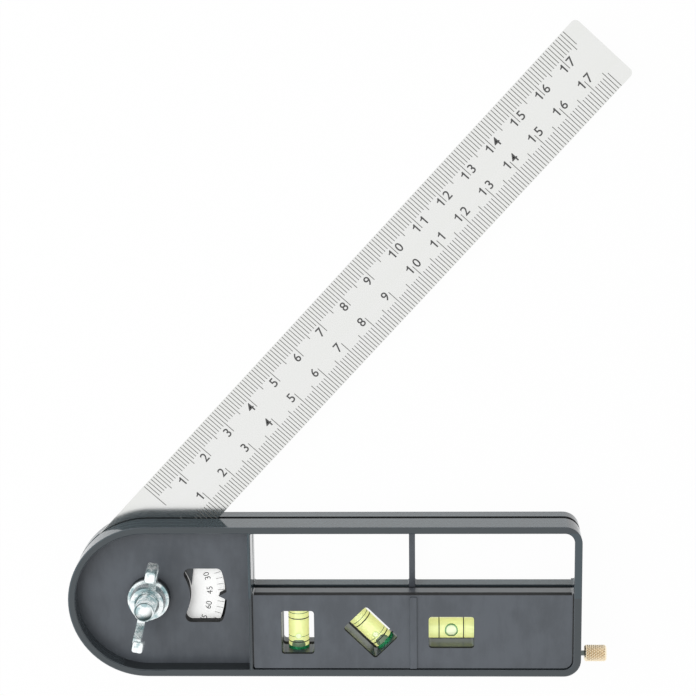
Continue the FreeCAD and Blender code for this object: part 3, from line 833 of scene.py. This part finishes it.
def threaded_bolt():
    """Head turned from its profile, neck as four sides, thread on top, joined into one piece."""
    dome_height = neck_bottom - bolt_bottom - head_rim
    sphere = (head_radius ** 2 + dome_height ** 2) / (2 * dome_height)
    slope = np.linspace(0, 1, 14)
    dome_radius = head_radius * np.sin(slope * np.pi / 2)
    dome = bolt_bottom + sphere - np.sqrt(sphere ** 2 - dome_radius ** 2)
    profile = [*zip(dome, dome_radius), (neck_bottom - edge_break, head_radius),
               (neck_bottom, head_radius - edge_break), (neck_bottom, 0.0)]
    head = turned(profile, 64)
    thread, groove = thread_points()
    foot = thread[:1] * [1, 1, 0] + [0, 0, thread_foot]
    under, lid = 0 * foot + [0, 0, thread_foot], 0 * foot + [0, 0, bolt_top]
    thread = np.concatenate([under, foot, thread, lid])
    neck, neck_faces = blocks([[0, 0, (neck_bottom + neck_top) / 2]],
                              [[neck_half, neck_half, (neck_top - neck_bottom) / 2]], [0])
    faces = [ring_quads(head), ring_quads(thread) + head.size // 3,
             neck_faces + (head.size + thread.size) // 3]
    points = np.concatenate([head.reshape(-1, 3), thread.reshape(-1, 3), neck])
    depth = np.zeros(len(points))
    start = head.size // 3 + 2 * thread.shape[1]
    depth[start:start + groove.size] = groove.ravel()
    piece = make_piece("threaded_bolt", points, np.concatenate(faces), zinc_plate, 40.0, depth)
    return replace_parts(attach(piece, "case"), "pivot_bolt")


threaded_bolt()

# %% [markdown]
# ## Vials
#
# Each vial is made lying along +X about the origin and then turned and set in its place. The tube is one
# profile spun about its axis: outside with two grooves for the marks, round the closed end, and back along a
# bore that is widest in the middle, which is what keeps the bubble there. The filling fits the bore and has
# a dent under its highest line, and the bubble is a lens in that dent. The filling is not clear, so the far
# side of the rings and the plug's nose are drawn on it: rows of points lie close on both sides of a far ring,
# and an oval near the plug stands for the nose.

# %% Vials
vial_height = 8.0
vial_line = -10.1
vial_places = {"level": (87.55, 0.0), "plumb": (43.2, -90.0), "mitre": (64.3, -45.0)}
plug_lengths = {"level": 1.85, "plumb": 3.3, "mitre": 3.3}
tube_half = 8.4
tube_radius = 3.0
bore_middle, bore_end = 2.35, 2.2
tube_floor = 1.2
tube_round = 0.5
mark_at = 3.55
mark_half = 0.16
mark_depth = 0.15
bubble_sizes = {"level": (1.95, 0.84), "plumb": (1.0, 0.42), "mitre": (1.0, 0.42)}  # half length, radians
bubble_from_plug = 2.3          # in the tilted vials
dent_depth, bowl_depth, bowl_share = 0.6, 0.5, 0.98     # depths over half length; bowl's width over dent's
wet_overlap = 0.015             # the filling reaches this far into the tube's wall
nose_length = 2.2               # the plug's narrower end, seen through the spirit
nose_radius = 1.75
far_marks = {"plumb": (-5.05, 2.05), "mitre": (-4.6, 2.5)}  # far side of the rings, seen aslant
far_rows = np.array([-0.18, -0.08, 0.08, 0.18])     # rows of points round a far ring
far_half = 0.09                 # half of a far ring's width


def place_vial(points, name):
    """From the origin to the vial's seat in the case."""
    along, degrees = vial_places[name]
    return turn_flat(points, degrees) + np.array([along, vial_line, vial_height])


def bore_radius(x, plug):
    """Arc from the bore's narrow ends to its wide middle, as a parabola."""
    start, end = tube_floor - tube_half, tube_half - plug
    share = (x - (start + end) / 2) / ((end - start) / 2)
    return bore_middle - (bore_middle - bore_end) * share ** 2


def tube_profile(plug):
    """(x, radius) from the closed end's middle, along the outside, over the mouth and back along the bore."""
    outside = [(-tube_half, 0.0)]
    for angle in np.linspace(0, np.pi / 2, 7)[::-1]:
        outside.append((-tube_half + tube_round * (1 - math.sin(angle)),
                        tube_radius - tube_round * (1 - math.cos(angle))))
    groove = ((-mark_half, 0.0), (-mark_half, mark_depth), (mark_half, mark_depth), (mark_half, 0.0))
    for side in (-1, 1):
        for x, depth in groove:
            outside.append((side * mark_at + x, tube_radius - depth))
    outside += [(tube_half - 0.15, tube_radius), (tube_half, tube_radius - 0.15), (tube_half, bore_end)]
    inner = np.linspace(tube_half - plug, tube_floor - tube_half, 24)
    inside = [(x, bore_radius(x, plug)) for x in inner]
    return outside + inside + [(tube_floor - tube_half, 0.0)]


def make_tube(name):
    """The clear tube, spun from its profile."""
    plug = plug_lengths[name]
    points = lay_along_x(turned(tube_profile(plug), 72))
    piece = make_piece(name + "_acrylic", place_vial(points, name), ring_quads(points), clear_tube, 30.0)
    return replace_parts(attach(piece, "case"), name + "_tube")


def bubble_centre(name):
    """Middle of the bubble along the tube: over the middle, or against the plug in the tilted vials."""
    if name == "level":
        return 0.0
    return tube_half - plug_lengths[name] - bubble_from_plug - bubble_sizes[name][0]


def make_filling(name):
    """Spirit: radius of the bore, less a dent that fades out on the bubble's ellipse."""
    plug = plug_lengths[name]
    half_length, half_angle = bubble_sizes[name]
    columns, rows = 96, 90
    far = far_marks.get(name, ())
    x = np.linspace(tube_floor - tube_half, tube_half - plug, rows)
    x = np.sort(np.concatenate([x] + [mark + far_rows for mark in far]))
    angle = np.linspace(-np.pi, np.pi, columns, endpoint=False)
    around, along = np.meshgrid(angle, x)
    radius = bore_radius(along, plug) + wet_overlap
    inside = 1 - ((along - bubble_centre(name)) / half_length) ** 2 - (around / half_angle) ** 2
    radius = radius - dent_depth * half_length * np.sqrt(np.clip(inside, 0, None))
    points = np.stack([along, radius * np.sin(around), radius * np.cos(around)], axis=-1)
    points = np.concatenate([points[:1] * [1, 0, 0], points, points[-1:] * [1, 0, 0]])
    side = (points[..., 1] / bore_middle) ** 2
    if name != "level":
        from_plug = tube_half - plug - points[..., 0]
        on_nose = (from_plug / nose_length) ** 2 + (points[..., 1] / nose_radius) ** 4 < 1
        on_mark = np.min([np.abs(points[..., 0] - mark) for mark in far], axis=0) < far_half
        side = np.where(on_nose | on_mark, 2.0, side)
    placed = place_vial(points, name)
    piece = make_piece(name + "_spirit", placed, ring_quads(points), vial_liquid, 50.0, side)
    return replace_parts(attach(piece, "case"), name + "_liquid")


def make_bubble_lens(name):
    """Lens of the bubble: the bore above, and the dent's bowl, a little smaller, below."""
    plug = plug_lengths[name]
    half_length, half_angle = bubble_sizes[name]
    reach = np.sin(np.linspace(0, 1, 16) * np.pi / 2)
    angle = np.linspace(0, 2 * np.pi, 64, endpoint=False)
    share, turn = np.meshgrid(reach, angle, indexing="ij")
    along = bubble_centre(name) + bowl_share * half_length * share * np.cos(turn)
    around = bowl_share * half_angle * share * np.sin(turn)
    top = bore_radius(along, plug) - 0.01
    bowl = top - bowl_depth * half_length * np.sqrt(np.clip(1 - share ** 2, 0, None))
    radius = np.concatenate([top, bowl[::-1]])
    along = np.concatenate([along, along[::-1]])
    around = np.concatenate([around, around[::-1]])
    points = np.stack([along, radius * np.sin(around), radius * np.cos(around)], axis=-1)
    edge = np.concatenate([share, share[::-1]])
    skin = bubble_skin if name == "level" else faint_skin
    piece = make_piece(name + "_bubble", place_vial(points, name), ring_quads(points), skin, 60.0, edge)
    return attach(piece, "case")


def make_plug(name):
    """Stopper, wet against the bore, with a dished outer end."""
    plug = plug_lengths[name]
    radius = bore_end + 0.01
    profile = [(tube_half - plug, 0.0), (tube_half - plug, radius), (tube_half - 0.12, radius),
               (tube_half, radius - 0.12), (tube_half, 1.3), (tube_half - 0.3, 1.1), (tube_half - 0.3, 0.0)]
    points = lay_along_x(turned(profile, 64))
    piece = make_piece(name + "_stopper", place_vial(points, name), ring_quads(points), green_plug, 30.0)
    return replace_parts(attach(piece, "case"), name + "_plug")


for vial in vials:
    make_tube(vial)
    make_filling(vial)
    make_bubble_lens(vial)
    make_plug(vial)

# %% [markdown]
# ## Floor and light
#
# The tool lies on white ground in even light. The floor is really white, because the light that it throws
# back brightens the case's sides. For the camera it is mostly a white of its own strength, so that it comes
# out pure white and keeps a faint shadow. One wide lamp stands to the left, so that shadows fall softly to
# the right, and the world lights the rest. The lamp is left out of the mirrored surroundings, because its
# bright square would show on the polished rims. What a second mirroring meets high above is darker than the
# white, which gives the zinc's inner corners their dark streaks.

# %% Floor and light
floor_radius = 2500.0
floor_glow = 0.975              # share of its own white in what the camera and mirrors see of the floor


def make_floor():
    """A wide white disc at the back plane's height."""
    points = turned([(0.0, 0.0), (0.0, floor_radius)], 64)
    material, _ = new_finish("white_ground")
    tree = material.node_tree
    set_shader(material, Base_Color=(0.86, 0.86, 0.86), Roughness=0.9, Specular_IOR_Level=0.1)
    ray = tree.nodes.new("ShaderNodeLightPath")
    white = tree.nodes.new("ShaderNodeEmission")
    white.inputs["Color"].default_value = (1, 1, 1, 1)
    mix = tree.nodes.new("ShaderNodeMixShader")
    seen = Wire(tree, ray.outputs["Is Camera Ray"]) + Wire(tree, ray.outputs["Is Glossy Ray"])
    seen = seen + Wire(tree, ray.outputs["Is Transmission Ray"])
    amount = seen.node("ShaderNodeMath", {"operation": "MINIMUM"}, {0: seen, 1: 1.0}) * floor_glow
    tree.links.new(amount.socket, mix.inputs[0])
    tree.links.new(tree.nodes["Principled BSDF"].outputs[0], mix.inputs[1])
    tree.links.new(white.outputs[0], mix.inputs[2])
    tree.links.new(mix.outputs[0], tree.nodes["Material Output"].inputs["Surface"])
    floor = make_piece("ground", points, ring_quads(points), material)
    return floor


def make_lamp(name, place, aim, size, watts):
    """Square area lamp in metres, aimed at a point and left out of the mirrored surroundings."""
    lamp = bpy.data.objects.new(name, bpy.data.lights.new(name, "AREA"))
    lamp.data.size = size
    lamp.data.energy = watts
    lamp.location = place
    lamp.rotation_mode = "QUATERNION"
    lamp.rotation_quaternion = (Vector(aim) - Vector(place)).to_track_quat("-Z", "Y")
    lamp.visible_glossy = False
    bpy.context.scene.collection.objects.link(lamp)
    return lamp


def make_world(fill, card, dark):
    """White round the tool, a weaker even fill for matt surfaces, and a dark card that corners mirror."""
    world = bpy.data.worlds.new("studio")
    bpy.context.scene.world = world
    world.use_nodes = True
    tree = world.node_tree
    ray = tree.nodes.new("ShaderNodeLightPath")
    matt = Wire(tree, ray.outputs["Is Diffuse Ray"])
    mirrored = Wire(tree, ray.outputs["Is Glossy Ray"])
    mirrors = Wire(tree, ray.outputs["Glossy Depth"])
    direction = Wire(tree, tree.nodes.new("ShaderNodeTexCoord").outputs["Generated"])
    towards_card = direction.node("ShaderNodeVectorMath", {"operation": "DOT_PRODUCT"},
                                  {0: direction, 1: Vector(card).normalized()}, 1)
    card_seen = step(towards_card, 0.93, 0.965) * mirrored * step(mirrors, 1.2, 1.8)
    strength = 1 - matt * (1 - fill) - card_seen * (1 - dark)
    background = tree.nodes["Background"]
    background.inputs["Color"].default_value = (1, 1, 1, 1)
    tree.links.new(strength.socket, background.inputs["Strength"])


make_floor()
make_lamp("key", (-0.55, 0.10, 0.75), (0.05, 0.02, 0.0), 1.0, 7.0)
make_world(0.55, (-0.19, 0.24, 0.95), 0.13)
